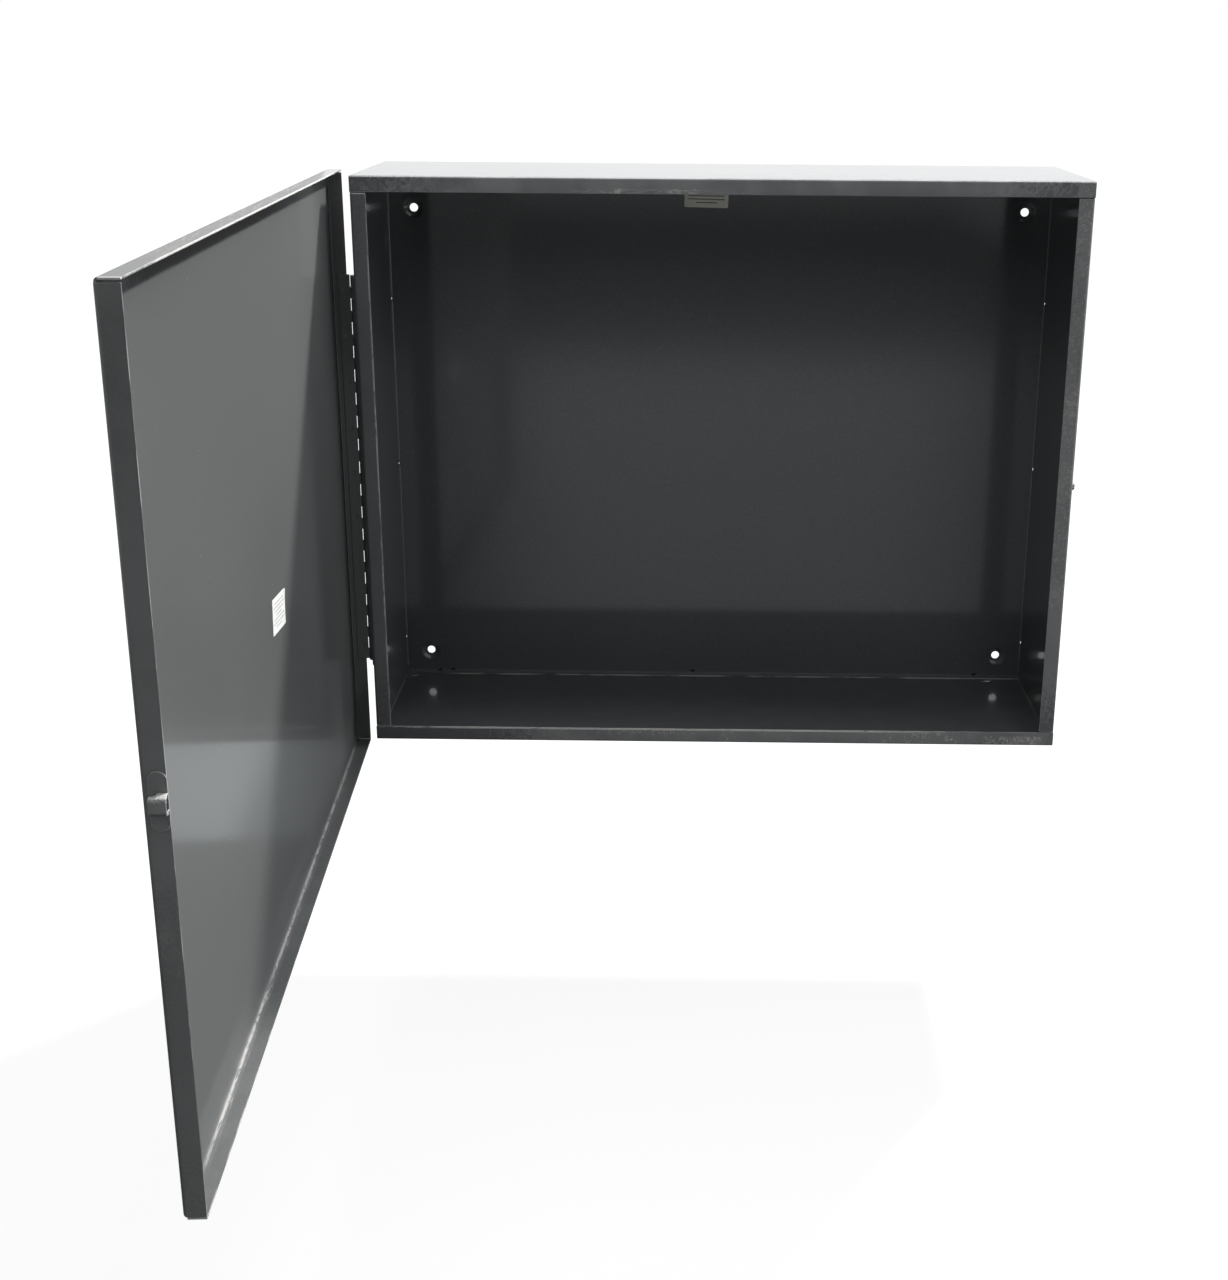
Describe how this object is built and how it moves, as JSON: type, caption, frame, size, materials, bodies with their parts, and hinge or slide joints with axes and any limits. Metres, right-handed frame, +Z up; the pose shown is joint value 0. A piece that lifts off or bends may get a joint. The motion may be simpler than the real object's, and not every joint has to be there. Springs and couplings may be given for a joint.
{
  "type": "dc combiner box enclosure",
  "caption": "Wall-mounted sheet-steel enclosure for a DC combiner: a flanged box with dimpled wall holes and a pan door on a continuous hinge, with a pull loop and a spring catch.",
  "frame": {"origin": "centre of the four wall holes, on the plane where the dimpled seats of the back panel touch the wall", "axes": "+X to the viewer's right when facing the open front, +Y back into the wall, +Z up; the box opens toward -Y and the door stands open to -Y from its left edge"},
  "size_m": [0.7929, 0.9592, 0.641],
  "materials": {
    "paint": "semi-gloss slate-grey powder coat",
    "bare_steel": "plain steel",
    "foil_label": "satin foil, blank",
    "paper_label": "matt white, blank"
  },
  "bodies": {
    "box": {"back_panel": "paint", "top_panel": "paint", "bottom_panel": "paint", "left_side_panel": "paint", "right_side_panel": "paint", "box_hinge_leaf": "paint", "hinge_pin": "bare_steel", "catch_spring": "bare_steel", "catch_rivets": "bare_steel", "back_label": "foil_label"},
    "door": {"door_panel": "paint", "door_hinge_leaf": "paint", "latch_plate": "paint", "pull_loop": "paint", "door_label": "paper_label"},
    "catch": {"catch_button": "bare_steel"}
  },
  "joints": [
    {"name": "door_hinge", "type": "hinge", "parent": "box", "child": "door", "pos_m": [-0.3842, -0.1799, 0], "axis": [0, 0, -1], "range_deg": [-87, 63]},
    {"name": "catch_press", "type": "slide", "parent": "box", "child": "catch", "axis": [-1, 0, 0], "range_m": [0, 0.002], "stiffness_N_per_m": 1500, "deforming": ["catch_spring"]}
  ]
}
